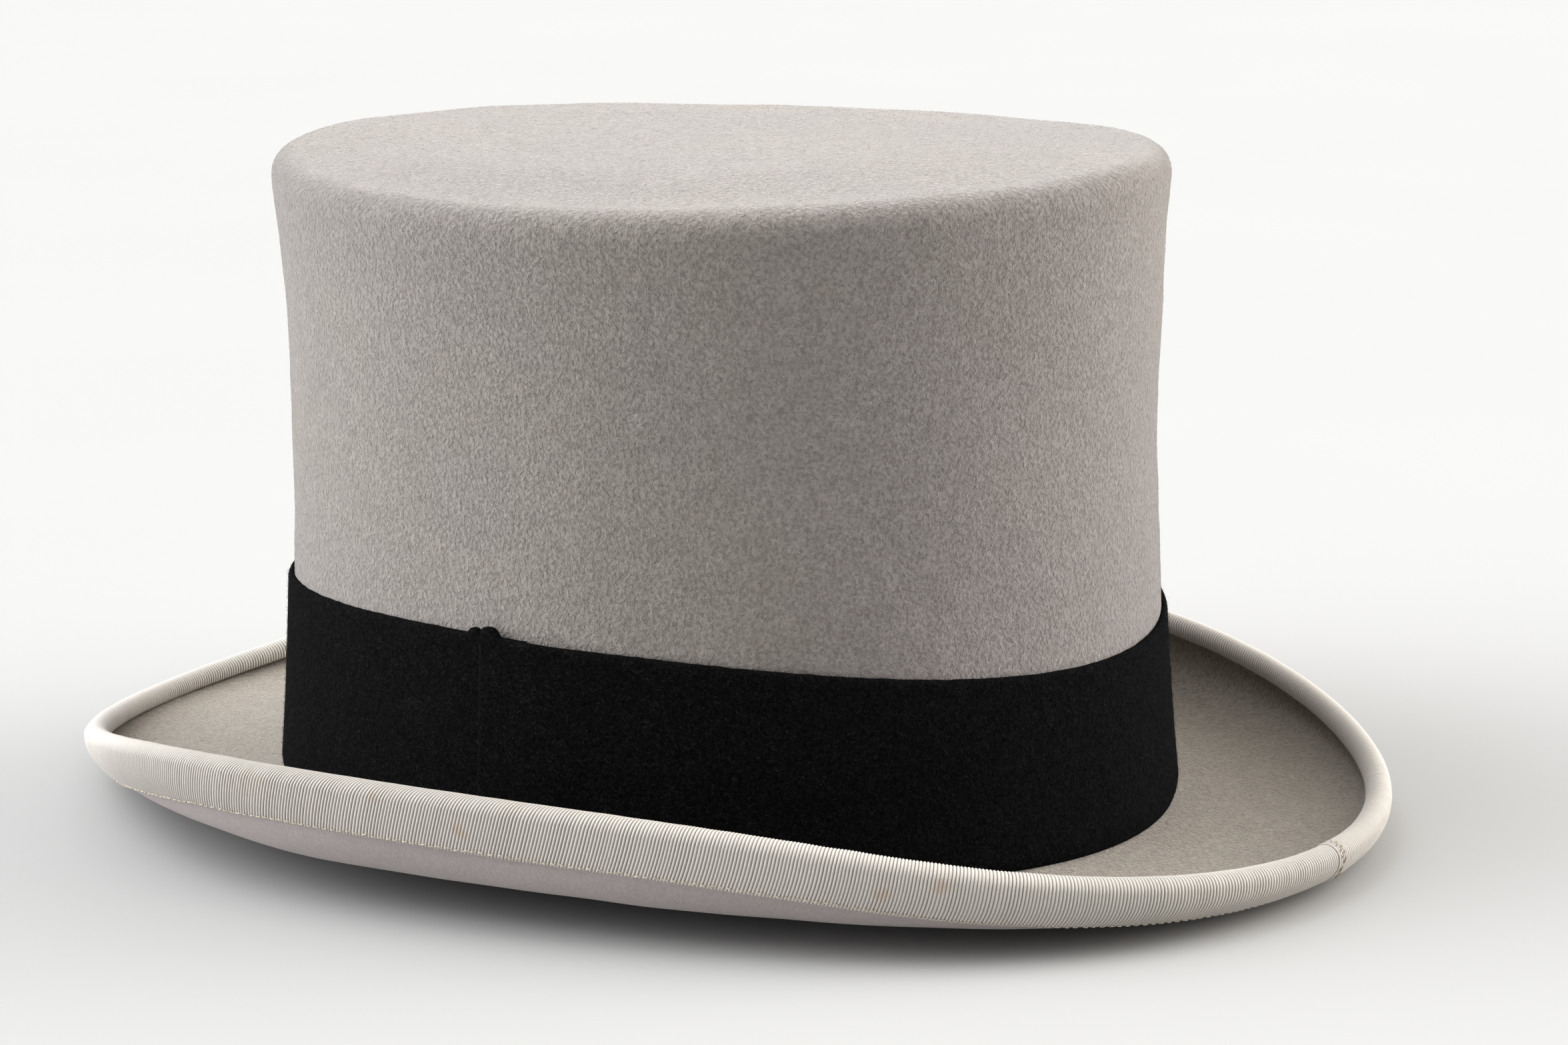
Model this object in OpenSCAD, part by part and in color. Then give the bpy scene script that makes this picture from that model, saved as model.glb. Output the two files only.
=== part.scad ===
// Top hat in fur felt with a curled brim, a grosgrain-bound edge and a felt hat band.
// Units are millimetres. The hat stands on its brim with +Z up, the front towards -Y and
// the wearer's left side towards +X. The origin is the bottom centre of the brim outline.
// Angles go round the hat from the left side (0), through the back (90), to the front (270).

/* [Crown] */
// Crown outside, front to back, where it meets the brim
crown_len = 206; // [180:1:230]
// How much narrower the crown is than long
oval_diff = 33; // [20:1:45]
// Height of the hat from the table to the middle of the tip
hat_height = 146.5; // [100:0.5:190]
// How far the crown draws in at its waist, at each end
waist_in = 4.6; // [0:0.1:10]
// Height of the waist as a share of the crown
waist_at = 0.61; // [0.4:0.01:0.8]
// How far the tip edge stays inside the foot of the crown, at each end
top_in = 1.9; // [-2:0.1:6]
// How far the tip leans back over the foot
crown_lean = 2.4; // [-3:0.1:6]
// How far the crown sits behind the middle of the brim
crown_back = 2.9; // [0:0.1:8]
// How far the tip edge is rounded off
tip_round = 5.5; // [4:0.1:12]
// How much lower the tip edge is at the sides than in the middle
tip_side_drop = 3.2; // [0:0.1:6]
// How much lower the tip edge is at the back than in the middle
tip_back_drop = 1.2; // [0:0.1:4]
// Thickness of the felt
felt = 1.8; // [1.4:0.1:2.4]

/* [Foot of the crown] */
// Height of the foot line at the sides
foot_side = 9.1; // [5:0.1:14]
// Height of the foot line at the front
foot_front = 4.1; // [2:0.1:8]
// Height of the foot line at the back
foot_back = 2.7; // [2:0.1:8]
// How far the turn from crown to brim is rounded off
foot_round = 2.2; // [1.8:0.1:4]

/* [Brim] */
// How far the brim reaches past the crown at the front and the back, mean of the two
brim_end = 52; // [40:0.5:70]
// How far the brim reaches past the crown at the middle of each side
brim_side = 23.5; // [18:0.5:40]
// How much fuller the outline is lengthways beside the middle than at the ends
end_full = 1.8; // [0:0.1:4]
// How far the outline swells between the sides and the ends
outline_swell = 35.4; // [20:0.1:50]
// How far the quarters of the outline are drawn in sideways
quarter_in = 4; // [0:0.1:8]
// How far the quarters of the outline are drawn in lengthways
quarter_short = 15.2; // [5:0.1:20]
// How much fuller the front of the outline is than the back
front_fuller = 5.6; // [0:0.1:8]
// How far the brim slopes down as it leaves the crown at the sides, as rise over run
slope_side = 0.196; // [0:0.001:0.4]
// How far the brim slopes down as it leaves the crown at the ends, as rise over run
slope_end = 0.1; // [0:0.001:0.3]
// Depth of the upturned wall of the brim at the sides
wall_side = 19.2; // [10:0.1:28]
// Depth of the upturned wall of the brim at the front
wall_front = 5.7; // [4:0.1:12]
// Depth of the upturned wall of the brim at the back
wall_back = 8.2; // [4:0.1:14]
// Share of the brim's width that stays nearly level
level_share = 0.517; // [0.3:0.001:0.7]

/* [Rolled edge] */
// Radius of the roll over its ribbon
roll_r = 2.7; // [2.5:0.1:4]
// Height of the middle of the roll at the sides
roll_side = 26.4; // [15:0.1:40]
// Height of the middle of the roll at the front
roll_front = 4.1; // [3:0.1:15]
// Height of the middle of the roll at the back
roll_back = 7.6; // [4:0.1:20]
// How much the quarters of the roll stand above an even wave
quarter_up = 3; // [0:0.1:6]
// How far the felt edge turns over, in degrees
curl_turn = 195; // [150:1:205]
// Thickness of the felt in the roll
felt_edge = 1.2; // [0.8:0.1:1.2]

/* [Binding ribbon] */
// Thickness of the ribbon
ribbon = 0.4; // [0.3:0.05:0.5]
// Width of the ribbon on the outside, from the top of the roll down
ribbon_out = 12.9; // [9:0.1:18]
// Length of one stitch
stitch_len = 3; // [2:0.1:4]
// Spacing of the stitches, in degrees round the brim
stitch_step = 3; // [2:1:6]
// Angle of the ribbon's join at the back
join_at = 86; // [60:1:120]

/* [Hat band] */
// Height of the band, mean
band_h = 42.5; // [20:0.1:60]
// How much the band is taller in front and shorter behind
band_tilt = 2.35; // [0:0.05:4]
// How much the band is taller at the sides than at the ends
band_bow = 1.2; // [0:0.1:3]
// Thickness of the band
band = 1.2; // [0.8:0.1:2]
// Angle of the band's seam
seam_at = -4; // [-30:1:30]
// Length of the overlap at the seam, in degrees
lap = 6; // [4:1:12]

/* [Inside] */
// Height of the leather sweatband
sweat_h = 52; // [35:1:60]
// Thickness of the sweatband leather
leather = 0.8; // [0.6:0.1:1.2]
// Radius of the reed under the sweatband
reed_r = 0.9; // [0.6:0.1:1.2]
// Thickness of the lining satin
satin = 0.4; // [0.3:0.1:0.5]
// Half width of the sweatband bow, in degrees round the hat
bow_half = 11; // [7:1:14]

/* [Hidden] */
// Clearance between two layers
gap = 0.1;
ribbon_gap = 0.18;
// Brim outside, front to back and side to side at the middle
brim_len = crown_len + 2 * brim_end;
brim_wid = crown_len - oval_diff + 2 * brim_side;
// Steps round the hat, and the angle of each
steps = 72;
step = 360 / steps;
// Middle line of the felt
half_felt = felt / 2;
// Middle radius of the felt in the roll
curl_r = roll_r - ribbon - ribbon_gap - felt_edge / 2;
// How far a stitch stands up, how wide it is, and how far the row lies inside the ribbon's edge
stitch_high = 0.25;
stitch_wide = 0.4;
stitch_in = 1.3;
// Small step used to find slopes
nudge = 0.001;
// Band bottom above the foot line
band_up = half_felt + 0.9;
// Angle of the tacks by the band's seam, and their length
tack_at = seam_at + 1.2;
tack_len = 2.4;
// Lining outer face and sweatband outer face behind the felt's middle line
lining_in = half_felt + 0.3;
sweat_in = lining_in + satin + 0.15;
// Heights above the foot line of the reed, the sweatband and the lining
reed_up = 2.2;
sweat_up = reed_up + reed_r + 0.2;
lining_up = 30;
// Distance of the flat lining tip under the lowest tip edge
tip_lining_drop = half_felt + 0.5;
// Stations from the middle of the tip to the felt edge
stations = concat([0.3, 0.6, 0.8], [for (t = [1 : 0.25 : 2]) t], [for (t = [1 : 8]) 2 + t / 9],
  [for (t = [0 : 2]) 3 + t / 3], [for (t = [0 : 8]) 4 + t / 9], [for (t = [0 : 8]) 5 + t / 8]);

// ---- plain helpers ----
function unit(v) = v / norm(v);
function mix(p, q, t) = p + (q - p) * t;
function smooth(t) = let (c = min(1, max(0, t))) c * c * (3 - 2 * c);
function curve3(p, q, r, t) = p * (1 - t) * (1 - t) + q * 2 * t * (1 - t) + r * t * t;
function curve4(p, q, r, s, t) =
  p * pow(1 - t, 3) + q * 3 * t * pow(1 - t, 2) + r * 3 * t * t * (1 - t) + s * pow(t, 3);
// A value that is side at 0 and 180, back at 90 and front at 270
function around(a, side, front, back) =
  (side + (front + back) / 2) / 2 + (side - (front + back) / 2) / 2 * cos(2 * a)
  + (back - front) / 2 * sin(a);

// ---- crown ----
function foot_z(a) = around(a, foot_side, foot_front, foot_back);
function tip_z(a) =
  tip_mid_z - tip_side_drop * pow(cos(a), 2) - tip_back_drop * (1 + sin(a)) / 2 * pow(sin(a), 2);
function share(a, z) = (z - foot_z(a)) / (tip_z(a) - foot_z(a));
function draw_in(t) = t < waist_at
  ? waist_in * (1 - pow((waist_at - t) / waist_at, 2))
  : waist_in - (waist_in - top_in) * pow((t - waist_at) / (1 - waist_at), 2);
function oval(a, half, y, z) = [(half - oval_diff / 2) * cos(a), half * sin(a) + crown_back + y, z];
function crown_half(a, z) = crown_len / 2 - half_felt - draw_in(share(a, z));
// Point on the foot line
function foot_pt(a) = oval(a, crown_len / 2 - half_felt, 0, foot_z(a));
// Point on the middle of the crown wall
function wall_pt(a, z) = oval(a, crown_half(a, z), crown_lean * share(a, z), z);
function wall_out(a, z) =
  unit(cross(wall_pt(a, z) - wall_pt(a, z + nudge), wall_pt(a + nudge, z) - wall_pt(a - nudge, z)));
// Point on a layer that lies off the crown wall by a given distance
function layer_pt(a, z, off) = wall_pt(a, z) + wall_out(a, z) * off;

// ---- rolled edge ----
function roll_z(a) = let (ends = (roll_front + roll_back) / 2)
  (roll_side + ends) / 2 + (roll_side - ends) / 2 * cos(2 * a)
  + quarter_up * pow(sin(2 * a), 2) - (roll_back - roll_front) / 2 * sin(3 * a);
function roll_pt(a) = [
  cos(a) * (brim_wid / 2 - roll_r + outline_swell * pow(sin(a), 2)
    - quarter_in * pow(sin(2 * a), 2) - front_fuller * sin(3 * a)),
  sin(a) * (brim_len / 2 - roll_r + end_full * pow(cos(a), 2) - quarter_short * pow(sin(2 * a), 2)),
  roll_z(a)];

// ---- brim, drawn in the upright plane from the foot of the crown to the roll ----
function reach(a) = let (d = roll_pt(a) - foot_pt(a)) [d[0], d[1], 0];
function rise(a) = roll_z(a) - foot_z(a);
function in_plane(a, out, up) = foot_pt(a) + unit(reach(a)) * out + [0, 0, up];
function slope(a) = -around(a, slope_side, slope_end, slope_end);
function brim_2d(a, t) = let (far = norm(reach(a)) + curl_r, level = level_share * far)
  curve4([foot_round, slope(a) * foot_round], [level, slope(a) * level],
    [far, rise(a) - around(a, wall_side, wall_front, wall_back)], [far, rise(a)], t);
function curl_2d(a, t) =
  [norm(reach(a)) + curl_r * cos(t * curl_turn), rise(a) + curl_r * sin(t * curl_turn)];

// ---- middle of the felt: 0 to 1 tip, 1 to 2 tip edge, 2 to 3 wall, 3 to 4 foot,
//      4 to 5 brim, 5 to 6 roll ----
function tip_corner(a) = wall_pt(a, tip_z(a));
function tip_inner(a) = oval(a, crown_half(a, tip_z(a)) - tip_round, crown_lean, tip_z(a));
function tip_flat(a, t) = let (p = mix([0, crown_back + crown_lean, 0], tip_inner(a), t))
  [p[0], p[1], mix(tip_mid_z, tip_z(a), smooth((t - 0.6) / 0.4))];
function wall_z(a, t) = mix(tip_z(a) - tip_round, foot_z(a) + foot_round, t);
function felt_mid(a, u) =
  u < 1 ? tip_flat(a, u)
  : u < 2 ? curve3(tip_inner(a), tip_corner(a), wall_pt(a, wall_z(a, 0)), u - 1)
  : u < 3 ? wall_pt(a, wall_z(a, u - 2))
  : u < 4 ? curve3(wall_pt(a, wall_z(a, 1)), in_plane(a, 0, 0),
      in_plane(a, brim_2d(a, 0)[0], brim_2d(a, 0)[1]), u - 3)
  : u < 5 ? in_plane(a, brim_2d(a, u - 4)[0], brim_2d(a, u - 4)[1])
  : in_plane(a, curl_2d(a, u - 5)[0], curl_2d(a, u - 5)[1]);
// Direction out of the crown, up from the brim and into the roll
function felt_out(a, u) =
  unit(cross(felt_mid(a, u + nudge) - felt_mid(a, u - nudge),
    felt_mid(a + nudge, u) - felt_mid(a - nudge, u)));
function half_at(u) = mix(half_felt, felt_edge / 2, smooth((u - 4.5) / 0.5));
// What the ribbon and its stitches add outside the felt
cover = ribbon + stitch_high + gap + ribbon_gap;
function underside(a, u) = let (over = u > down_from_roll(a, ribbon_out) ? cover : 0)
  felt_mid(a, u)[2] - felt_out(a, u)[2] * (half_at(u) + over);
// How far the whole hat is lifted so that its lowest point is on the table, and the middle of
// the tip's felt before that lift
lift = -min([for (a = [0 : step : 359], u = [4.2 : 0.05 : 5.3]) underside(a, u)]);
tip_mid_z = hat_height - half_felt - lift;
function on_felt(a, u, off) = felt_mid(a, u) + felt_out(a, u) * off + [0, 0, lift];
function on_wall(a, z, off) = layer_pt(a, z, off) + [0, 0, lift];

// Share of the brim curve at which a given length is left before the roll begins
function brim_share(a, left, t = 1) = let (d = norm(brim_2d(a, t) - brim_2d(a, t - 0.02)))
  d >= left || t < 0.1 ? t - 0.02 * left / d : brim_share(a, left - d, t - 0.02);
// Station that lies a given length down the outside, measured from the top of the roll
function down_from_roll(a, length) = 4 + brim_share(a, length - roll_r * PI / 2);

// ---- closed skins ----
// Quads between two neighbouring rows, all the way round both ways
function ring_faces(n, m) = [for (i = [0 : n - 1], j = [0 : m - 1])
  let (k = (i + 1) % n, l = (j + 1) % m)
  each [[i * m + j, k * m + j, k * m + l], [i * m + j, k * m + l, i * m + l]]];
// A ring swept round the hat from a list of closed rows
module ring(rows) {
  polyhedron(points = [for (r = rows) each r], faces = ring_faces(len(rows), len(rows[0])), convexity = 10);
}
// An open strip with an end cap on its first and last row
module strip(rows) {
  n = len(rows);
  m = len(rows[0]);
  skin = [for (i = [0 : n - 2], j = [0 : m - 1]) let (l = (j + 1) % m)
    each [[i * m + j, (i + 1) * m + j, (i + 1) * m + l], [i * m + j, (i + 1) * m + l, i * m + l]]];
  caps = [[for (j = [0 : m - 1]) j], [for (j = [m - 1 : -1 : 0]) (n - 1) * m + j]];
  polyhedron(points = [for (r = rows) each r], faces = concat(skin, caps), convexity = 10);
}
// A small bar lying along a direction on a surface
module bar(at, along, out, size) {
  x = unit(along);
  z = unit(out - x * (out * x));
  y = cross(z, x);
  multmatrix([[x[0], y[0], z[0], at[0]], [x[1], y[1], z[1], at[1]], [x[2], y[2], z[2], at[2]], [0, 0, 0, 1]])
    translate([-size[0] / 2, -size[1] / 2, 0]) cube(size);
}

// ---- pieces ----
// One-piece felt hood: crown and brim
module felt_body() {
  m = len(stations);
  rows = [for (a = [0 : step : 359]) concat(
    [for (u = stations) on_felt(a, u, half_at(u))],
    [for (j = [m - 1 : -1 : 0]) on_felt(a, stations[j], -half_at(stations[j]))])];
  w = 2 * m;
  top = [0, crown_back + crown_lean, hat_height];
  skin = [for (i = [0 : steps - 1], j = [0 : w - 2]) let (k = (i + 1) % steps)
    each [[i * w + j, k * w + j, k * w + j + 1], [i * w + j, k * w + j + 1, i * w + j + 1]]];
  hubs = [for (i = [0 : steps - 1]) let (k = (i + 1) % steps)
    each [[steps * w, k * w, i * w], [steps * w + 1, i * w + w - 1, k * w + w - 1]]];
  color("#b9b2ab")
    polyhedron(points = concat([for (r = rows) each r], [top, top - [0, 0, felt]]),
      faces = concat(skin, hubs), convexity = 10);
}

// Grosgrain ribbon folded over the felt edge
module brim_binding() {
  near = ribbon_gap;
  far = ribbon_gap + ribbon;
  beyond = 180 / PI / curl_turn / curl_r;
  function outer(a, off) = let (s = down_from_roll(a, ribbon_out)) concat(
    [for (t = [0 : 3]) let (u = mix(s, 5, t / 4)) on_felt(a, u, -half_at(u) - off)],
    [for (t = [0 : 8]) on_felt(a, 5 + t / 8, -felt_edge / 2 - off)]);
  function inner(a, off) =
    [for (t = [8 : -1 : 5]) on_felt(a, 5 + t / 8, felt_edge / 2 + off)];
  function past(a, off, d) = on_felt(a, 6 + d * beyond, off);
  function flip(v) = [for (j = [len(v) - 1 : -1 : 0]) v[j]];
  color("#d9cdb4")
    ring([for (a = [0 : step : 359]) flip(concat(
      outer(a, far),
      [past(a, -felt_edge / 2 - far * 0.4, far * 0.8), past(a, felt_edge / 2 + far * 0.4, far * 0.8)],
      inner(a, far), flip(inner(a, near)),
      [past(a, felt_edge / 2 + near, near), past(a, -felt_edge / 2 - near, near)],
      flip(outer(a, near))))]);
}

// Running stitches that hold the ribbon's outer edge
module binding_stitches() {
  color("#cbbfa6") for (a = [0 : stitch_step : 359]) {
    s = down_from_roll(a, ribbon_out - stitch_in);
    side = on_felt(a + 0.5, down_from_roll(a + 0.5, ribbon_out - stitch_in), 0)
      - on_felt(a - 0.5, down_from_roll(a - 0.5, ribbon_out - stitch_in), 0);
    bar(on_felt(a, s, -half_at(s) - ribbon - ribbon_gap - gap), side, -felt_out(a, s),
      [stitch_len, stitch_wide, stitch_high]);
  }
}

// Hand stitches across the roll where the ribbon ends meet
module join_stitches() {
  color("#cbbfa6") for (u = [4.9 : 0.2 : 5.7])
    bar(on_felt(join_at, u, -half_at(u) - ribbon - ribbon_gap - gap),
      felt_mid(join_at, u + 0.01) - felt_mid(join_at, u - 0.01) + [0.01, 0, 0], -felt_out(join_at, u),
      [0.9, stitch_wide, stitch_high]);
}

// Felt band: one strip round the foot of the crown, its start lapped over its end
module hat_band() {
  function low(a) = foot_z(a) + band_up;
  function high(a) = low(a) + band_h - band_tilt * sin(a) + band_bow * cos(2 * a);
  last = seam_at + 360 + lap;
  first_step = step * floor(seam_at / step);
  around_list = concat([seam_at],
    [for (a = [first_step : step : last]) if (a > seam_at + 1 && a < last - 1) a], [last]);
  // The first stretch lies outside the last, then steps in to the crown
  function off(a) = half_felt + gap + (band + gap) * (1 - smooth((a - seam_at - lap - 4) / 6));
  color("#2b2a2c")
    strip([for (a = around_list) concat(
      [for (t = [0 : 3]) on_wall(a, mix(low(a), high(a), t / 3), off(a))],
      [for (t = [3 : -1 : 0]) on_wall(a, mix(low(a), high(a), t / 3), off(a) + band)])]);
}

// Thread tacks that hold the lapped end of the band down
module band_tacks() {
  color("#1d1c1e") for (up = [6, 20, 34])
    bar(on_wall(tack_at, foot_z(tack_at) + band_up + up, half_felt + 2 * band + 3 * gap),
      [0, 1, 0.3], wall_out(tack_at, foot_z(tack_at) + band_up + up), [tack_len, stitch_wide, 0.2]);
}

// Leather sweatband
module sweatband() {
  function z(a, t) = foot_z(a) + mix(sweat_up, sweat_up + sweat_h, t / 5);
  function back(t) = sweat_in + 0.6 * smooth((t - 2) / 3);
  color("#8a5a3a")
    ring([for (a = [0 : step : 359]) concat(
      [for (t = [0 : 5]) on_wall(a, z(a, t), -back(t) - leather)],
      [for (t = [5 : -1 : 0]) on_wall(a, z(a, t), -back(t))])]);
}

// Reed sewn in under the sweatband
module sweatband_reed() {
  in = half_felt + 0.1 + reed_r;
  color("#6e4830")
    ring([for (a = [0 : step : 359])
      [for (t = [0 : 45 : 315])
        on_wall(a, foot_z(a) + reed_up + reed_r * sin(t), -in - reed_r * cos(t))]]);
}

// Stitches that hold the reed
module sweatband_stitches() {
  color("#c9b48e") for (a = [0 : step : 359])
    bar(on_wall(a, foot_z(a) + sweat_up + 2, -sweat_in - leather - 0.15),
      wall_pt(a + 1, foot_z(a + 1)) - wall_pt(a - 1, foot_z(a - 1)), -wall_out(a, foot_z(a) + 5),
      [3.4, 0.5, stitch_high]);
}

// Small ribbon bow at the back of the sweatband
module sweatband_bow() {
  in = sweat_in + leather + 0.3;
  function fat(i) = abs(i) < 0.16 ? 1.6 : 0.6 + 1.5 * sin(180 * abs(i));
  function tall(i) = abs(i) < 0.16 ? 2.2 : 1.6 + 3.4 * pow(abs(i), 0.7);
  color("#4a3326")
    strip([for (i = [-1, -0.85, -0.6, -0.35, -0.2, -0.15, 0, 0.15, 0.2, 0.35, 0.6, 0.85, 1])
      let (a = 90 + i * bow_half)
      [for (t = [0 : 45 : 315]) on_wall(a, foot_z(a) + sweat_up + 9 + tall(i) * sin(t),
        -in - fat(i) / 2 - fat(i) / 2 * cos(t))]]);
}

// Satin round the inside of the crown
module lining_side() {
  top_z = tip_mid_z - tip_side_drop - tip_lining_drop - satin - 0.1;
  function z(a, j) = j < 7 ? mix(foot_z(a) + lining_up, top_z - 9, j / 6) : j == 7 ? top_z - 4 : top_z - 1.2;
  function in(j) = lining_in + [0.3, 3, 7][max(j - 6, 0)] * (j < 6 ? 0 : 1);
  color("#c7bfb4")
    ring([for (a = [0 : step : 359]) concat(
      [for (j = [0 : 8]) on_wall(a, z(a, j) - (j == 8 ? satin : 0), -in(j) - satin)],
      [for (j = [8 : -1 : 0]) on_wall(a, z(a, j), -in(j))])]);
}

// Flat satin oval under the tip
module lining_tip() {
  half = crown_len / 2 - top_in - felt - 6;
  color("#c7bfb4")
    translate([0, crown_back + crown_lean, tip_mid_z - tip_side_drop - tip_lining_drop - satin + lift])
      scale([half - oval_diff / 2, half, 1]) cylinder(h = satin, r = 1, $fn = 96);
}

felt_body();
brim_binding();
binding_stitches();
join_stitches();
hat_band();
band_tacks();
sweatband();
sweatband_reed();
sweatband_stitches();
sweatband_bow();
lining_side();
lining_tip();
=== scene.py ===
import math

import bpy
import numpy as np
from mathutils import Matrix, Vector


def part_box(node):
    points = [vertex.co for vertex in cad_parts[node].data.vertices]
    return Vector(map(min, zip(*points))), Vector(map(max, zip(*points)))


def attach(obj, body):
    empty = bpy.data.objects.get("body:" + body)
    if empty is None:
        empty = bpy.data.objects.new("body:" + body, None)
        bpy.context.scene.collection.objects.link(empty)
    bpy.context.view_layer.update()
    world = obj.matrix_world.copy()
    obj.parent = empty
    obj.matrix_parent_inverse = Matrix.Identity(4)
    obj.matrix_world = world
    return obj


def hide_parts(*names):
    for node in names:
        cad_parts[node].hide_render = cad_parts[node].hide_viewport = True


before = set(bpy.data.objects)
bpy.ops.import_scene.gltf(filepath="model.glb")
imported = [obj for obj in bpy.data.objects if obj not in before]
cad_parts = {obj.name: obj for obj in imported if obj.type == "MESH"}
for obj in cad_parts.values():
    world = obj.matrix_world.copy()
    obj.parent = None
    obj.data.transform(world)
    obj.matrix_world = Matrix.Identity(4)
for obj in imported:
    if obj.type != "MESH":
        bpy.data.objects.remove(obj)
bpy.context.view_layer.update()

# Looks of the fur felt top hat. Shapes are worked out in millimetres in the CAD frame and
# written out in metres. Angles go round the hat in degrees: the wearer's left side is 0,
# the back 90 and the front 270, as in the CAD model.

MM = 0.001
RIBBON_LOW, RIBBON_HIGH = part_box("brim_binding")
FELT_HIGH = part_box("felt_body")[1]
TIP_LINING_LOW, TIP_LINING_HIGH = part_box("lining_tip")

# Crown
CROWN_LEN = 206.0
OVAL_DIFF = 33.0
HAT_TOP = FELT_HIGH.z / MM
WAIST_IN = 4.6
WAIST_AT = 0.61
TOP_IN = 1.9
LEAN = 2.4
CROWN_BACK = 2.9
TIP_ROUND = 5.5
TIP_FLAT = 0.6
TIP_SIDE_DROP = 3.2
TIP_BACK_DROP = 1.2
FELT = 1.8
HALF_FELT = FELT / 2
FOOT_ROUND = 2.2

# Brim and its roll. Three values are those of the side, the front and the back.
# The heights are those of the standing hat.
BRIM_LEN = (RIBBON_HIGH.y - RIBBON_LOW.y) / MM
BRIM_WID = 220.0
LIFT = 0.669
FOOT = (9.1 + LIFT, 4.1 + LIFT, 2.7 + LIFT)
ROLL_Z = (26.4 + LIFT, 4.1 + LIFT, 7.6 + LIFT)
WALL = (19.2, 5.7, 8.2)
SLOPE = (0.196, 0.1, 0.1)
OUTLINE_SWELL = 35.4
QUARTER_IN = 4.0
QUARTER_SHORT = 15.2
FRONT_FULLER = 5.6
END_FULL = 1.8
QUARTER_UP = 3.0
LEVEL_SHARE = 0.517
ROLL_R = 2.7
FELT_EDGE = 1.2
THINS_FROM = 4.5
CURL_TURN = 195.0

# Rows of the felt's mesh: first and last station of each stretch and its number of rows
STRETCHES = ((0.02, 1, 40), (1, 2, 14), (2, 3, 60), (3, 4, 8), (4, 5, 44), (5, 6, 26))
# Unevenness of the felt: height and size of its swells and of its dents
SWELL, SWELL_SIZE = 0.28, 46.0
DENT, DENT_SIZE = 0.07, 12.0

# Ribbon on the brim, and its stitches. The ribbon ends inside the roll.
RIBBON = 0.4
RIBBON_GAP = 0.18
RIBBON_OUT = 12.9
RIBBON_TURNS = 6.05
RIBBON_FACES_IN = 6.14
RIBBON_ENDS = 5.6
RIB_PITCH = 0.735
RIB_DEPTH = 0.26
RIB_MIDDLE = 0.6
RIB_LEAN = 0.36
UPRIGHT_RIBS_AT = 75.0
CURL_R = ROLL_R - RIBBON - RIBBON_GAP - FELT_EDGE / 2
JOIN_AT = 86.0
JOIN_STEP = 0.2
EDGE_THIN = 0.25
STITCH_PITCH = 1.9
STITCH_LONG = (1.15, 1.6)
STITCH_UP = 0.75
STITCH_R = 0.15
JOIN_STITCHES = 13
JOIN_FROM, JOIN_TO = 4.86, 5.62
JOIN_STITCH_R = 0.14

# Band
BAND = 1.2
BAND_GAP = 0.08
BAND_H = 42.5
BAND_TILT = 2.35
BAND_BOW = 1.2
BAND_UP = HALF_FELT + 0.15
BAND_OVER = 0.9
SEAM_AT = -4.0
LAP = 6.0
LAP_GAP = 0.05
LAP_EASES = 14.0
OUTER_PEAK, INNER_PEAK = 2.2, 1.2
TACKS_UP = (6.0, 20.0, 34.0)
TACK_LONG = 0.9
TACK_R = 0.13

# Sweatband with its reed, stitches and bow
LEATHER = 0.8
LEATHER_UP = 3.3
LEATHER_H = 52.0
LEATHER_BACK = 0.85
LEATHER_EASES = 0.6
REED_R = 0.9
REED_UP = 2.2
REED_GAP = 0.1
SWEAT_STITCHES = 150
SWEAT_STITCH_UP = 5.3
SWEAT_STITCH_LONG = 1.35
SWEAT_STITCH_R = 0.17
BOW_AT = 90.0
BOW_HALF = 11.0
BOW_UP = 12.3
BOW_BACK = 1.95

# Linings
SATIN = 0.3
LINING_UP = 30.0
LINING_BELOW_TIP = 1.8
LINING_SHOULDER = 6.6
PLEATS = 96
PLEAT = 0.34
BILLOW = 0.35
BILLOW_MOST = 0.8
TIP_SAG = 0.5

# Standing fibres
GREY_FIBRES = 210000
BLACK_FIBRES = 60000

NUDGE = 1e-3


# ---- shape of the hat ----
def cos(a):
    return np.cos(np.radians(a))


def sin(a):
    return np.sin(np.radians(a))


def smooth(t):
    t = np.clip(t, 0.0, 1.0)
    return t * t * (3 - 2 * t)


def mix(p, q, t):
    return p + (q - p) * t


def around(a, values):
    """A smooth value round the hat through those of the side, the front and the back."""
    side, front, back = values
    ends = (front + back) / 2
    return (side + ends) / 2 + (side - ends) / 2 * cos(2 * a) + (back - front) / 2 * sin(a)


def xyz(x, y, z):
    x, y, z = np.broadcast_arrays(x, y, z)
    return np.stack([x, y, z], -1).astype(float)


def foot_z(a):
    return around(a, FOOT)


def tip_z(a):
    drop = TIP_SIDE_DROP * cos(a) ** 2 + TIP_BACK_DROP * (1 + sin(a)) / 2 * sin(a) ** 2
    return HAT_TOP - HALF_FELT - drop


def share(a, z):
    """Share of the way up the crown's wall."""
    return (z - foot_z(a)) / (tip_z(a) - foot_z(a))


def draw_in(t):
    """How far the wall is drawn in at a share of its height, most at the waist."""
    below = WAIST_IN * (1 - ((WAIST_AT - t) / WAIST_AT) ** 2)
    above = WAIST_IN - (WAIST_IN - TOP_IN) * ((t - WAIST_AT) / (1 - WAIST_AT)) ** 2
    return np.where(t < WAIST_AT, below, above)


def oval(a, half, y, z):
    """A point on the crown's oval with a given half length."""
    return xyz((half - OVAL_DIFF / 2) * cos(a), half * sin(a) + CROWN_BACK + y, z)


def crown_half(a, z):
    return CROWN_LEN / 2 - HALF_FELT - draw_in(share(a, z))


def wall_pt(a, z):
    return oval(a, crown_half(a, z), LEAN * share(a, z), z)


def unit(v):
    return v / np.maximum(np.linalg.norm(v, axis=-1, keepdims=True), 1e-12)


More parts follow.
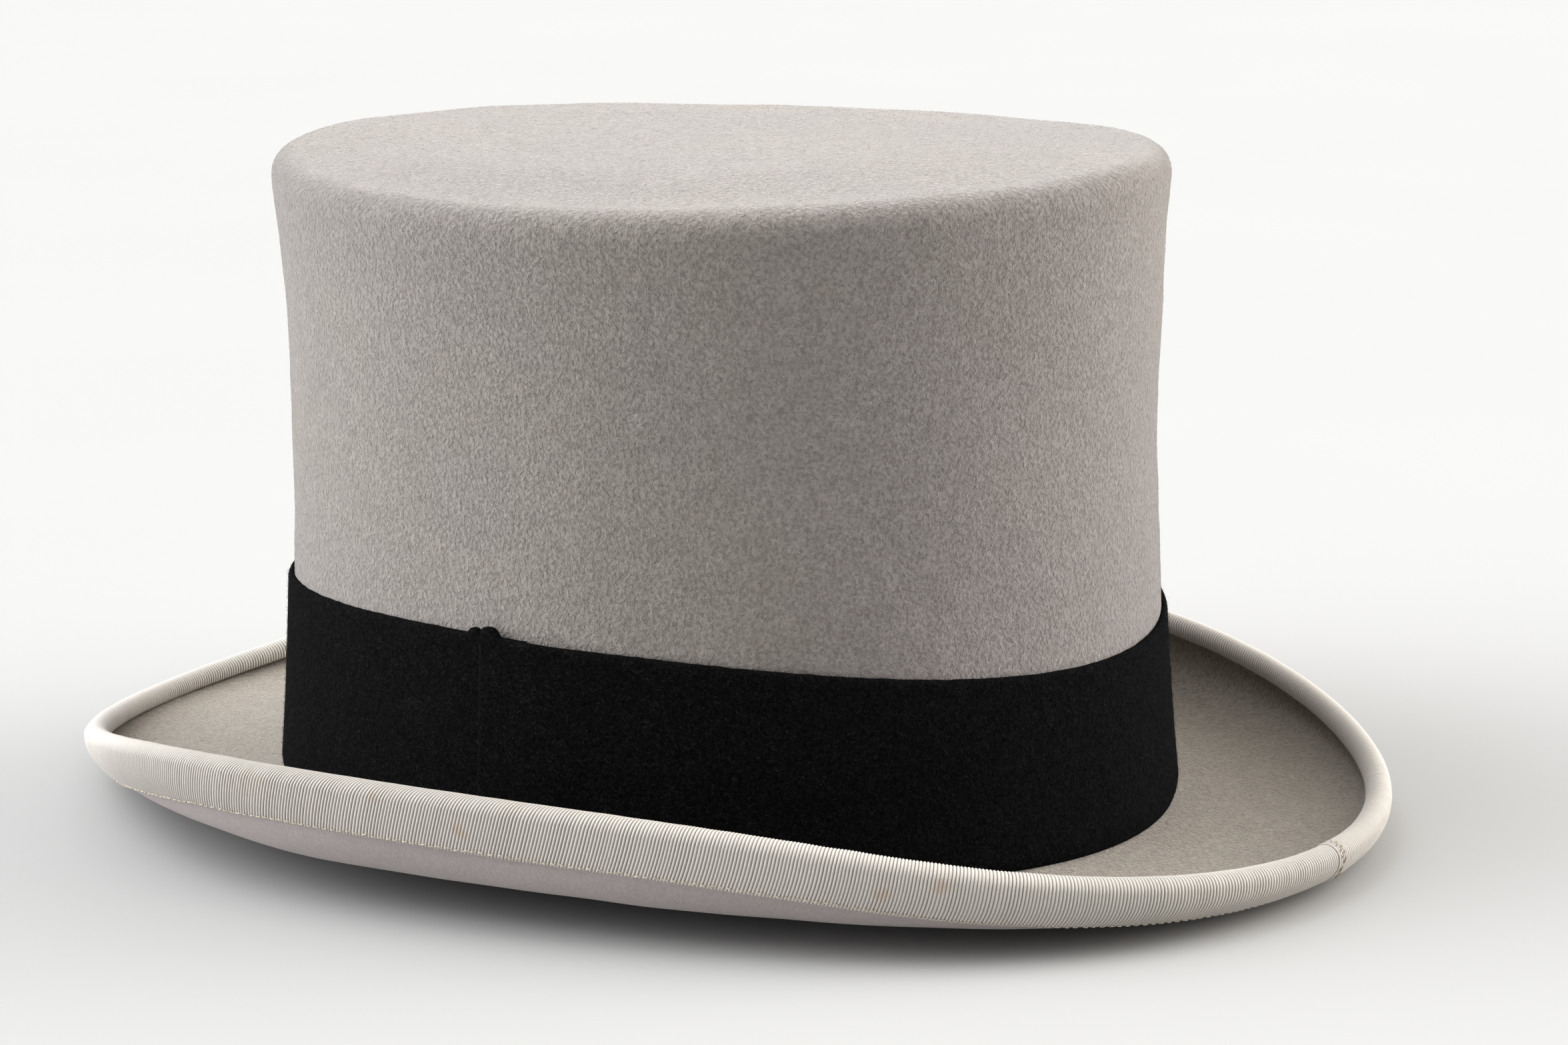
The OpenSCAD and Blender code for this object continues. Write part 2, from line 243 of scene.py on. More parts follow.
def wall_out(a, z):
    down = wall_pt(a, z) - wall_pt(a, z + NUDGE)
    along = wall_pt(a + NUDGE, z) - wall_pt(a - NUDGE, z)
    return unit(np.cross(down, along))


def layer_pt(a, z, off):
    """A point at a distance out from the middle of the crown's wall."""
    off = np.asarray(off, float)
    return wall_pt(a, z) + wall_out(a, z) * off[..., None]


def foot_pt(a):
    return oval(a, CROWN_LEN / 2 - HALF_FELT, 0.0, foot_z(a))


def roll_pt(a):
    side, front, back = ROLL_Z
    ends = (front + back) / 2
    z = (side + ends) / 2 + (side - ends) / 2 * cos(2 * a)
    z = z + QUARTER_UP * sin(2 * a) ** 2 - (back - front) / 2 * sin(3 * a)
    quarter = sin(2 * a) ** 2
    wide = BRIM_WID / 2 - ROLL_R + OUTLINE_SWELL * sin(a) ** 2
    wide = wide - QUARTER_IN * quarter - FRONT_FULLER * sin(3 * a)
    long = BRIM_LEN / 2 - ROLL_R + END_FULL * cos(a) ** 2 - QUARTER_SHORT * quarter
    return xyz(cos(a) * wide, sin(a) * long, z)


def reach(a):
    d = roll_pt(a) - foot_pt(a)
    d[..., 2] = 0
    return d


def in_plane(a, out, up):
    """A point of the brim's section: out from the foot of the crown and up from it."""
    p = foot_pt(a) + unit(reach(a)) * np.asarray(out)[..., None]
    p[..., 2] += up
    return p


def bezier(points, t):
    p, q, r, s = points
    k = 1 - t
    return [p[i] * k ** 3 + 3 * q[i] * t * k * k + 3 * r[i] * t * t * k + s[i] * t ** 3
            for i in (0, 1)]


def brim_2d(a, t):
    """The brim's section from the foot to the roll: level at first, then up into the wall."""
    far = np.linalg.norm(reach(a), axis=-1) + CURL_R
    rise = roll_pt(a)[..., 2] - foot_z(a)
    level = LEVEL_SHARE * far
    slope = -around(a, SLOPE)
    start = (FOOT_ROUND + 0 * a, slope * FOOT_ROUND)
    return bezier([start, (level, slope * level), (far, rise - around(a, WALL)), (far, rise)], t)


def curl_2d(a, t):
    """The felt edge's curl inside the ribbon's roll."""
    rise = roll_pt(a)[..., 2] - foot_z(a)
    out = np.linalg.norm(reach(a), axis=-1) + CURL_R * cos(t * CURL_TURN)
    return [out, rise + CURL_R * sin(t * CURL_TURN)]


def curve3(p, q, r, t):
    return p * (1 - t) ** 2 + q * (2 * t * (1 - t)) + r * t * t


def tip_inner(a):
    """Where the tip's rounded edge begins."""
    z = tip_z(a)
    return oval(a, crown_half(a, z) - TIP_ROUND, LEAN, z)


def felt_mid(a, u):
    """Middle of the felt: 0 to 1 tip, to 2 tip edge, to 3 wall, to 4 foot, to 5 brim, to 6 roll."""
    if u < 1:
        p = tip_inner(a)
        centre = np.array([0, CROWN_BACK + LEAN, 0])
        q = mix(centre, p, u)
        q[..., 2] = mix(HAT_TOP - HALF_FELT, tip_z(a), smooth((u - TIP_FLAT) / (1 - TIP_FLAT)))
        return q
    top = tip_z(a) - TIP_ROUND
    low = foot_z(a) + FOOT_ROUND
    if u < 2:
        return curve3(tip_inner(a), wall_pt(a, tip_z(a)), wall_pt(a, top), u - 1)
    if u < 3:
        return wall_pt(a, mix(top, low, u - 2))
    if u < 4:
        return curve3(wall_pt(a, low), in_plane(a, 0 * a, 0), in_plane(a, *brim_2d(a, 0.0)), u - 3)
    if u < 5:
        return in_plane(a, *brim_2d(a, u - 4))
    return in_plane(a, *curl_2d(a, u - 5))


def felt_out(a, u):
    """Direction out of the crown, up from the brim and into the roll."""
    along = felt_mid(a, u + NUDGE) - felt_mid(a, u - NUDGE)
    turn = felt_mid(a + NUDGE, u) - felt_mid(a - NUDGE, u)
    return unit(np.cross(along, turn))


def half_at(u):
    """Half the felt's thickness, which thins towards the roll."""
    return mix(HALF_FELT, FELT_EDGE / 2, float(smooth((u - THINS_FROM) / (5 - THINS_FROM))))


def on_felt(a, u, off):
    """A point at a distance out from the middle of the felt."""
    off = np.asarray(off, float)
    return felt_mid(a, u) + felt_out(a, u) * off[..., None]


def brim_share(a, left, steps=160):
    """Share of the brim curve at which a given length is left before the roll begins."""
    ts = np.linspace(0.0, 1.0, steps + 1)
    pts = np.array([brim_2d(a, t) for t in ts])
    seg = np.linalg.norm(np.diff(pts, axis=0), axis=1)
    left_over = np.concatenate([np.cumsum(seg[::-1], 0)[::-1], np.zeros((1,) + seg.shape[1:])])
    left = np.broadcast_to(left, a.shape)
    return np.array([np.interp(left[i], left_over[::-1, i], ts[::-1]) for i in range(len(a))])


def path_length(points):
    """Length in metres along a row of points."""
    return float(np.linalg.norm(np.diff(points, axis=0), axis=1).sum()) * MM


def spread(fn, a, us):
    """A grid of points, one column for each station."""
    return np.stack([fn(a, u) for u in us], 1)


def varied(a, u, fn):
    """fn(a, u) where u differs from one angle to the next, by blending between fixed stations."""
    grid = np.linspace(u.min() - 0.02, u.max() + 0.02, 40)
    rows = np.stack([fn(a, g) for g in grid])
    pos = (u - grid[0]) / (grid[1] - grid[0])
    i = np.clip(np.floor(pos).astype(int), 0, len(grid) - 2)
    f = (pos - i)[:, None]
    n = np.arange(len(a))
    return rows[i, n] * (1 - f) + rows[i + 1, n] * f


# ---- noise and meshes ----
def rng(seed):
    return np.random.default_rng(seed)


def wave(a, amp, low, high, seed):
    """A smooth random wave round the hat."""
    r = rng(seed)
    total = 0 * a
    for k in range(low, high + 1):
        total = total + np.cos(np.radians(k * a) + r.uniform(0, 2 * math.pi)) * r.uniform(0.4, 1)
    return amp * total / math.sqrt(high - low + 1)


def lumps(p, size, seed, count=14):
    """Smooth random lumps of about a given size at points in space, from -1 to 1."""
    r = rng(seed)
    total = np.zeros(p.shape[:-1])
    for _ in range(count):
        d = r.normal(size=3)
        d = d / np.linalg.norm(d) * (2 * math.pi / size) * r.uniform(0.6, 1.4)
        total += np.sin(p @ d + r.uniform(0, 2 * math.pi))
    return total / math.sqrt(count) * 0.7


def build(name, points, quads, material, layers=None, flat=False):
    """A mesh object from points in millimetres and an array of faces with equal corners."""
    mesh = bpy.data.meshes.new(name)
    corners = quads.shape[1]
    mesh.vertices.add(len(points))
    mesh.vertices.foreach_set("co", (points * MM).astype(np.float32).ravel())
    mesh.loops.add(quads.size)
    mesh.loops.foreach_set("vertex_index", quads.astype(np.int32).ravel())
    mesh.polygons.add(len(quads))
    mesh.polygons.foreach_set("loop_start", np.arange(0, quads.size, corners, dtype=np.int32))
    mesh.update(calc_edges=True)
    mesh.validate()
    if not flat:
        mesh.shade_smooth()
    for key, values in (layers or {}).items():
        layer = mesh.attributes.new(key, "FLOAT", "POINT")
        layer.data.foreach_set("value", values.astype(np.float32).ravel())
    mesh.materials.append(material)
    obj = bpy.data.objects.new(name, mesh)
    bpy.context.scene.collection.objects.link(obj)
    return obj


def ring_quads(n, m, close_rows=True, close_cols=False):
    """Faces of a grid of n rows and m columns, point i * m + j."""
    i = np.arange(n if close_rows else n - 1)
    j = np.arange(m if close_cols else m - 1)
    i, j = np.meshgrid(i, j, indexing="ij")
    k, l = (i + 1) % n, (j + 1) % m
    return np.stack([i * m + j, k * m + j, k * m + l, i * m + l], -1).reshape(-1, 4)


def tubes(paths, radius, sides=6):
    """Round threads along many paths of equal point count, tapered at both ends."""
    n, k, _ = paths.shape
    tangent = unit(np.gradient(paths, axis=1))
    ref = np.where(np.abs(tangent[..., 2:3]) > 0.9, np.array([1.0, 0, 0]), np.array([0, 0, 1.0]))
    x = unit(np.cross(tangent, ref))
    y = np.cross(tangent, x)
    t = np.linspace(-1, 1, k)
    size = np.asarray(radius) * np.sqrt(np.clip(1.05 - t ** 4, 0.05, 1))
    angle = np.arange(sides) * 2 * math.pi / sides
    ring = x[:, :, None] * np.cos(angle)[:, None] + y[:, :, None] * np.sin(angle)[:, None]
    pts = paths[:, :, None] + ring * size[:, None, None]
    quads = ring_quads(k, sides, close_rows=False, close_cols=True)
    quads = (quads[None] + (np.arange(n) * k * sides)[:, None, None]).reshape(-1, 4)
    caps = []
    for end in (0, k - 1):
        base = (np.arange(n) * k + end)[:, None] * sides
        for c in range(0, sides - 2, 2):
            ring_cap = base + np.array([0, c + 1, c + 2, (c + 3) % sides])
            caps.append(ring_cap if end else ring_cap[:, ::-1])
    return pts.reshape(-1, 3), np.concatenate([quads] + caps)


# ---- materials ----
class Nodes:
    """A short way to write a material's nodes."""

    def __init__(self, name, rough=0.9, sheen=0.0, tint=(1, 1, 1), sheen_rough=0.4, specular=0.3):
        self.material = bpy.data.materials.new(name)
        self.material.use_nodes = True
        self.tree = self.material.node_tree
        self.shader = self.tree.nodes["Principled BSDF"]
        self.shader.inputs["Roughness"].default_value = rough
        self.shader.inputs["Sheen Weight"].default_value = sheen
        self.shader.inputs["Sheen Roughness"].default_value = sheen_rough
        self.shader.inputs["Sheen Tint"].default_value = (*tint, 1)
        self.shader.inputs["Specular IOR Level"].default_value = specular
        self.coords = self.tree.nodes.new("ShaderNodeTexCoord").outputs["Object"]

    def add(self, kind, **inputs):
        node = self.tree.nodes.new(kind)
        for key, value in inputs.items():
            if key.startswith("_"):
                setattr(node, key[1:], value)
        for key, value in inputs.items():
            if not key.startswith("_"):
                self.put(node.inputs[key.replace("_", " ")], value)
        return node

    def put(self, socket, value):
        if isinstance(value, bpy.types.NodeSocket):
            self.tree.links.new(value, socket)
        else:
            socket.default_value = value

    def stretch(self, scale):
        return self.add("ShaderNodeMapping", Vector=self.coords, Scale=scale).outputs["Vector"]

    def noise(self, scale, detail=2.0, rough=0.5, distort=0.0, coords=None):
        node = self.add("ShaderNodeTexNoise", Vector=coords or self.coords, Scale=scale, Detail=detail,
                        Roughness=rough, Distortion=distort)
        return node.outputs["Fac"]

    def ramp(self, value, low, high, to_low=0.0, to_high=1.0):
        node = self.tree.nodes.new("ShaderNodeMapRange")
        for i, v in enumerate((value, low, high, to_low, to_high)):
            self.put(node.inputs[i], v)
        return node.outputs["Result"]

    def maths(self, operation, *values):
        node = self.tree.nodes.new("ShaderNodeMath")
        node.operation = operation
        for i, v in enumerate(values):
            self.put(node.inputs[i], v)
        return node.outputs["Value"]

    def blend(self, fac, a, b, kind="MIX"):
        node = self.tree.nodes.new("ShaderNodeMix")
        node.data_type = "RGBA"
        node.blend_type = kind
        for i, v in ((0, fac), (6, a), (7, b)):
            self.put(node.inputs[i], (*v, 1) if isinstance(v, tuple) and len(v) == 3 else v)
        return node.outputs[2]

    def attribute(self, name):
        return self.add("ShaderNodeAttribute", _attribute_name=name).outputs["Fac"]

    def bump(self, height, distance, strength=1.0, normal=None):
        node = self.add("ShaderNodeBump", Height=height, Distance=distance, Strength=strength)
        if normal is not None:
            self.put(node.inputs["Normal"], normal)
        return node.outputs["Normal"]

    def finish(self, colour, normal=None, rough=None):
        self.put(self.shader.inputs["Base Color"], colour)
        if normal is not None:
            self.put(self.shader.inputs["Normal"], normal)
        if rough is not None:
            self.put(self.shader.inputs["Roughness"], rough)
        return self.material


def felt_material(name, base, patch, light, sheen, bump_mm, tint, grain, brim=None):
    """Felt: broad patches of tone, a pebbled nap and single lighter fibres.

    grain is the share of the colour that is left between the pebbles, light the fibres' colour.
    """
    m = Nodes(name, rough=0.95, sheen=sheen, tint=tint, sheen_rough=0.45, specular=0.25 * sheen)
    colour = m.blend(m.ramp(m.noise(16, 3, 0.55), 0.38, 0.62), base, patch)
    if brim:
        # From the foot of the crown outwards the felt is a little warmer, in small uneven patches
        darker = tuple(0.93 * c for c in brim)
        warm = m.blend(m.ramp(m.noise(90, 3, 0.6), 0.3, 0.7), brim, darker)
        colour = m.blend(m.ramp(m.attribute("station"), 3.6, 4.1), colour, warm)
    nap = m.noise(1150, 3, 0.6, 0.4)
    dark = m.blend(1.0, colour, (grain, grain * 0.985, grain * 0.965), "MULTIPLY")
    colour = m.blend(m.ramp(nap, 0.36, 0.60), dark, colour)
    clumps = m.ramp(m.noise(330, 2, 0.5), 0.35, 0.65, 0.0, 0.3)
    colour = m.blend(clumps, colour, dark)
    hairs = m.noise(1300, 4, 0.75, 2.6, m.stretch((1.0, 0.4, 0.7)))
    colour = m.blend(m.ramp(hairs, 0.55, 0.70, 0.0, 0.55), colour, light)
    normal = m.bump(nap, bump_mm * MM)
    normal = m.bump(hairs, 0.4 * bump_mm * MM, 0.7, normal)
    return m.finish(colour, normal)


GREY_FELT = felt_material("grey_fur_felt", base=(0.352, 0.317, 0.286), patch=(0.337, 0.304, 0.296),
                          light=(0.49, 0.455, 0.411), sheen=0.55, bump_mm=0.85,
                          tint=(1.0, 0.98, 0.96), grain=0.60, brim=(0.425, 0.372, 0.302))
UNDER_FELT = felt_material("smooth_under_felt", base=(0.395, 0.352, 0.345),
                           patch=(0.405, 0.36, 0.355), light=(0.48, 0.44, 0.425), sheen=0.2,
                           bump_mm=0.12, tint=(1.0, 0.97, 0.96), grain=0.9)
BLACK_FELT = felt_material("black_wool_felt", base=(0.0058, 0.0058, 0.0061),
                           patch=(0.0066, 0.0065, 0.0065), light=(0.034, 0.034, 0.036),
                           sheen=0.012, bump_mm=0.35, tint=(0.6, 0.62, 0.68), grain=0.45)


def fibre_material(name, colour, other, shine):
    m = Nodes(name, rough=0.8, sheen=shine, specular=shine)
    return m.finish(m.blend(m.noise(300, 2), colour, other))


GREY_FIBRE = fibre_material("grey_fibre", (0.40, 0.368, 0.335), (0.60, 0.56, 0.51), 0.2)
BLACK_FIBRE = fibre_material("black_fibre", (0.006, 0.006, 0.007), (0.05, 0.05, 0.054), 0.05)


def ribbon_material():
    """Ivory grosgrain: painted shade in the grooves, fine crossing threads, a little soiling and rust.
    """
    m = Nodes("ivory_grosgrain", rough=0.62, sheen=0.15, specular=0.35)
    ridge = m.attribute("ridge")
    colour = m.blend(m.ramp(m.noise(18, 3), 0.35, 0.65), (0.69, 0.652, 0.605), (0.63, 0.60, 0.562))
    # Painted shade: the grooves between the ribs are darkened in colour where the ridge height is low
    colour = m.blend(m.ramp(ridge, 0.0, 0.85), (0.105, 0.092, 0.078), colour)
    fine = m.noise(2600, 2, 0.6)
    colour = m.blend(m.ramp(fine, 0.3, 0.7, 0.35, 0.0), colour, (0.42, 0.37, 0.3))
    soil = m.ramp(m.noise(60, 4, 0.65), 0.6, 0.78, 0.0, 0.28)
    colour = m.blend(soil, colour, (0.42, 0.33, 0.22))
    for spot, size, amount in STAINS:
        far = m.add("ShaderNodeVectorMath", _operation="DISTANCE")
        m.put(far.inputs[0], m.coords)
        far.inputs[1].default_value = spot
        edge = m.ramp(m.noise(420, 4, 0.7), 0.3, 0.7, -0.8 * size, 0.8 * size)
        ragged = m.maths("ADD", far.outputs["Value"], edge)
        mask = m.ramp(ragged, size, 0.1 * size, 0.0, amount)
        colour = m.blend(mask, colour, (0.46, 0.30, 0.17))
    normal = m.bump(fine, 0.03 * MM, 0.5)
    return m.finish(colour, normal)


def thread_material(name, colour, other, shine=0.25):
    m = Nodes(name, rough=0.6, sheen=shine, specular=shine)
    twist = m.add("ShaderNodeTexWave", Vector=m.coords, Scale=900.0, Distortion=2.0).outputs["Fac"]
    return m.finish(m.blend(m.ramp(twist, 0.2, 0.8), colour, other), m.bump(twist, 0.04 * MM))


def leather_material():
    m = Nodes("sweatband_leather", rough=0.5, specular=0.4)
    grain = m.add("ShaderNodeTexVoronoi", Vector=m.coords, Scale=1400.0).outputs["Distance"]
    colour = m.blend(m.ramp(m.noise(30, 4, 0.6), 0.3, 0.7), (0.20, 0.095, 0.045), (0.27, 0.14, 0.07))
    colour = m.blend(m.ramp(m.noise(9, 3), 0.5, 0.75, 0.0, 0.5), colour, (0.13, 0.06, 0.03))
    rough = m.ramp(m.noise(120, 3), 0.3, 0.7, 0.42, 0.62)
    return m.finish(colour, m.bump(grain, 0.08 * MM, 0.6), rough)


def satin_material():
    m = Nodes("lining_satin", rough=0.34, sheen=0.25, specular=0.5)
    weave = m.noise(3000, 1, 0.5, 0.0, m.stretch((1.0, 1.0, 0.12)))
    colour = m.blend(m.ramp(m.noise(12, 3), 0.35, 0.65), (0.50, 0.46, 0.40), (0.45, 0.42, 0.37))
    colour = m.blend(m.ramp(weave, 0.3, 0.7, 0.25, 0.0), colour, (0.36, 0.33, 0.28))
    return m.finish(colour, m.bump(weave, 0.02 * MM, 0.4))


def metres(p):
    return tuple(float(v) * MM for v in p)


# Rust spots on the ribbon: angle round the brim, station across the roll, size and strength
RUST = ((2.5, 4.93, 2.0, 0.4), (-4.5, 5.02, 1.3, 0.3),
        (40.0, 4.9, 2.2, 0.35), (46.0, 4.97, 1.9, 0.35))
STAINS = [(metres(on_felt(np.array([at]), station, -1.1)[0]), size * MM, amount)
          for at, station, size, amount in RUST]


# ---- pieces ----
def dressed(obj, slot, *nodes):
    """Puts a finished piece on the hat."""
    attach(obj, "root")
    if nodes:
        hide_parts(*nodes)
    return obj


def wobble(a, u):
    """Slight unevenness of the shaped felt, along its own outward direction."""
    p = felt_mid(a, u)
    soft = float(smooth(u / 0.6)) if u < 1 else 1.0
    return SWELL * lumps(p, SWELL_SIZE, 11) * soft + DENT * lumps(p, DENT_SIZE, 12)


def felt_stations(fine):
    """Stations from the tip to the end of the roll."""
    parts = []
    for first, last, rows in STRETCHES:
        ends_here = last == STRETCHES[-1][1]
        parts.append(np.linspace(first, last, max(3, int(rows * fine)), endpoint=ends_here))
    return np.concatenate(parts)


def pole_caps(n, m, hub):
    """Faces that close both ends of a grid of n rows and m columns at points hub and hub + 1."""
    i = np.arange(0, n, 2)
    top = np.stack([np.full(len(i), hub), (i + 2) % n * m, (i + 1) % n * m, i * m], -1)
    low = np.stack([np.full(len(i), hub + 1), i * m, (i + 1) % n * m, (i + 2) % n * m], -1)
    low[:, 1:] += m - 1
    return [top, low]


def with_poles(grid):
    """The points of a grid and the middles of its first and last columns."""
    return np.concatenate([grid.reshape(-1, 3), [grid[:, 0].mean(0), grid[:, -1].mean(0)]])


def felt_body():
    """Crown and brim as one skin, outside and inside, closed at both poles and at the edge."""
    n = 420
    a = np.arange(n) * 360.0 / n
    us = felt_stations(1.0)
    outer = spread(lambda a, u: on_felt(a, u, half_at(u) + wobble(a, u)), a, us)
    inner = spread(lambda a, u: on_felt(a, u, -half_at(u) + wobble(a, u)), a, us[::-1])
    grid = np.concatenate([outer, inner], 1)
    m = grid.shape[1]
    quads = ring_quads(n, m)
    caps = pole_caps(n, m, n * m)
    station = np.concatenate([np.tile(np.concatenate([us, us[::-1]]), n), [0.0, 0.0]])
    obj = build("felt_hood", with_poles(grid), np.concatenate([quads] + caps), GREY_FELT,
                {"station": station})
    obj.data.materials.append(UNDER_FELT)
    # The inside of the crown and the underside of the brim are the smooth side of the felt
    below = np.zeros(len(obj.data.polygons), np.int32)
    col = np.arange(len(quads)) % (m - 1)
    below[:len(quads)][col >= len(us) - 1] = 1
    below[-len(caps[1]):] = 1
    obj.data.polygons.foreach_set("material_index", below)
    return dressed(obj, "fur_felt", "felt_body"), outer, us


def roll_lengths():
    """Length along the roll at each of many angles."""
    a = np.linspace(0, 360, 7201)
    p = roll_pt(a)
    return a, np.concatenate([[0], np.cumsum(np.linalg.norm(np.diff(p, axis=0), axis=1))])


def ribbon_lower(a):
    """Station of the ribbon's lower edge on the outside, a little uneven."""
    down = RIBBON_OUT + wave(a, 0.18, 3, 22, 21)
    return 4 + brim_share(a, down - ROLL_R * math.pi / 2)


def half_felt_at(u):
    """half_at for an array of stations on the brim."""
    stations = np.linspace(4, 5, 101)
    return np.interp(u, stations, [half_at(x) for x in stations])


def ribbon():
    """Grosgrain folded over the felt edge, with its ribs as real ridges."""
    ang, length = roll_lengths()
    ribs = int(length[-1] / RIB_PITCH)
    per = 6
    n = ribs * per
    s = np.arange(n) / n * length[-1]
    a = np.interp(s, length, ang)
    phase = np.arange(n) / per + 0.12 * np.sin(s / 7.0) + 0.08 * np.sin(s / 1.9)
    ridge = np.abs(np.cos(math.pi * phase)) ** 0.9
    coarse = np.arange(0, 360.5, 0.5)
    lowest = ribbon_lower(coarse)
    lean = RIB_LEAN * cos(a + 90 - UPRIGHT_RIBS_AT)
    outside_long = RIBBON_OUT - ROLL_R * math.pi / 2
    round_long = ROLL_R * math.radians(CURL_TURN)

    def along(across):
        """Angle of each rib at a distance across the ribbon: the ribs lean towards the back."""
        return np.interp((s + lean * across) % length[-1], length, ang)

    # The outer end laps over the inner one at the join and lies a little proud of it
    step = JOIN_STEP * (1 - smooth((a - JOIN_AT) / 4.0)) * (a >= JOIN_AT - 0.4)
    over = RIBBON + RIB_DEPTH * (ridge - RIB_MIDDLE) + step
    rows = []
    for t in np.linspace(0, 1, 16, endpoint=False):
        at = along(t * outside_long)
        u = mix(np.interp(at, coarse, lowest), 5.0, t)
        off = half_felt_at(u) + RIBBON_GAP + over - EDGE_THIN * (1 - smooth(t / 0.05))
        rows.append(varied(at, u, felt_mid) - varied(at, u, felt_out) * off[:, None])
    for u in np.linspace(5, RIBBON_TURNS, 30):
        at = along(outside_long + (u - 5) * round_long)
        wear = 0.05 * lumps(felt_mid(at, u), 9.0, 23)
        rows.append(on_felt(at, u, -(FELT_EDGE / 2 + RIBBON_GAP + over + wear)))
    for off in np.linspace(-FELT_EDGE / 2 - 0.2, FELT_EDGE / 2 + 0.2, 5):
        rows.append(on_felt(at, RIBBON_FACES_IN, off + 0 * a))
    for u in np.linspace(RIBBON_TURNS, RIBBON_ENDS, 5):
        rows.append(on_felt(at, u, FELT_EDGE / 2 + RIBBON_GAP + RIBBON / 2 + 0 * a))
    grid = np.stack(rows, 1)
    # The underlying cut edge turns in under the lower edge
    at = along(0)
    inward = varied(at, np.interp(at, coarse, lowest), felt_out)
    grid = np.concatenate([grid[:, :1] + (inward * (RIBBON - 0.15))[:, None], grid], 1)
    layers = {"ridge": np.repeat(ridge[:, None], grid.shape[1], 1)}
    obj = build("grosgrain_binding", grid.reshape(-1, 3), ring_quads(n, grid.shape[1])[:, ::-1],
                ribbon_material(), layers)
    square = np.argmin(np.abs(lean))
    return dressed(obj, "grosgrain", "brim_binding"), (path_length(grid[square]), length[-1] * MM)


def stitch_rows():
    """Running stitches just above the ribbon's lower edge, each a short arched thread."""
    ang, length = roll_lengths()
    count = int(length[-1] / STITCH_PITCH)
    r = rng(31)
    s = (np.arange(count) + r.uniform(-0.12, 0.12, count)) / count * length[-1]
    long = r.uniform(*STITCH_LONG, count)
    k = 7
    t = np.linspace(-0.5, 0.5, k)
    at = np.interp((s[:, None] + long[:, None] * t) % length[-1], length, ang)
    flat = at.ravel()
    slant = r.uniform(-0.22, 0.22, count)[:, None] * t * 2 + r.uniform(-0.12, 0.12, count)[:, None]
    up = STITCH_UP + slant + wave(at, 0.12, 5, 40, 33)
    u = 4 + brim_share(flat, (RIBBON_OUT - up.ravel()) - ROLL_R * math.pi / 2)
    middle = (HALF_FELT + FELT_EDGE / 2) / 2
    half = np.interp(u, [THINS_FROM, 4.75, 5.0], [HALF_FELT, middle, FELT_EDGE / 2])
    arch = 0.02 + 0.13 * np.clip(1 - (2 * np.tile(t, count)) ** 4, 0, 1)
    off = half + RIBBON_GAP + RIBBON + arch
    paths = varied(flat, u, felt_mid) - varied(flat, u, felt_out) * off[:, None]
    pts, quads = tubes(paths.reshape(count, k, 3), STITCH_R)
    obj = build("binding_thread", pts, quads,
                thread_material("ivory_thread", (0.62, 0.56, 0.45), (0.42, 0.37, 0.29)))
    return dressed(obj, "binding_thread", "binding_stitches")


def join_rows():
    """Hand stitches that cross the roll where the ribbon ends meet."""
    k = 5
    t = np.linspace(-0.5, 0.5, k)
    lift = 0.34 + 0.12 * (1 - (2 * t) ** 2)
    paths = []
    for i, u in enumerate(np.linspace(JOIN_FROM, JOIN_TO, JOIN_STITCHES)):
        a = JOIN_AT + np.full(k, 0.16 * (-1) ** i) + t * 0.3
        station = u + t * 0.05
        off = [-half_at(v) - RIBBON_GAP - RIBBON - up for v, up in zip(station, lift)]
        paths.append([on_felt(a[j:j + 1], station[j], off[j])[0] for j in range(k)])
    pts, quads = tubes(np.array(paths), JOIN_STITCH_R)
    obj = build("join_thread", pts, quads,
                thread_material("join_thread_tan", (0.42, 0.31, 0.2), (0.34, 0.25, 0.17)))
    return dressed(obj, "binding_thread", "join_stitches")


def band_low(a):
    return foot_z(a) + BAND_UP


def band_high(a):
    return foot_z(a) + HALF_FELT + BAND_OVER + BAND_H - BAND_TILT * sin(a) + BAND_BOW * cos(2 * a)


def band():
    """Black felt strip round the foot of the crown, lapped at the wearer's left."""
    first, last = SEAM_AT, SEAM_AT + 360 + LAP
    n = 1300
    a = np.linspace(first, last, n)
    ragged = wave(a, 0.07, 20, 160, 42) + wave(a, 0.18, 2, 9, 43)
    # The two seam allowances stand up above the top edge
    bump_top = OUTER_PEAK * np.exp(-((a - SEAM_AT - 1.5) / 1.35) ** 4)
    bump_top = bump_top + INNER_PEAK * np.exp(-((a - 360 - SEAM_AT + 1.1) / 0.85) ** 4)
    low = band_low(a)
    high = band_high(a) + ragged + bump_top
    # The first stretch lies over the last one and eases down to the felt
    over = 1 - smooth((a - SEAM_AT - LAP - 1) / LAP_EASES)
    base = HALF_FELT + BAND_GAP + (BAND + LAP_GAP) * over
    ts = np.linspace(0, 1, 40)
    rows = []
    for t in ts:
        z = mix(low, high, t)
        # Both long edges and the outer cut end are soft and rounded
        round_off = 0.42 * smooth((t - 0.975) / 0.025) + 0.7 * (1 - smooth(t / 0.06)) ** 2
        round_off = round_off + 0.95 * np.clip(1 - (a - SEAM_AT) / 0.55, 0, 1) ** 2
        wall = wall_pt(a, z)
        rough = 0.015 * lumps(wall, 3.0, 44) + 0.07 * lumps(wall, 34.0, 45)
        rows.append(layer_pt(a, z, base + BAND - round_off + rough))
    for t in ts[::-1]:
        z = mix(low, high, t)
        rows.append(layer_pt(a, z, base))
    grid = np.stack(rows, 1)
    m = grid.shape[1]
    quads = ring_quads(n, m, close_rows=False, close_cols=True)
    k = len(ts)
    j = np.arange(k - 1)
    start = np.stack([j, j + 1, m - 2 - j, m - 1 - j], -1)
    end = start[:, ::-1] + (n - 1) * m
    obj = build("felt_band", grid.reshape(-1, 3), np.concatenate([quads, start, end]), BLACK_FELT)
    return dressed(obj, "band_felt", "hat_band"), grid[:, :k]


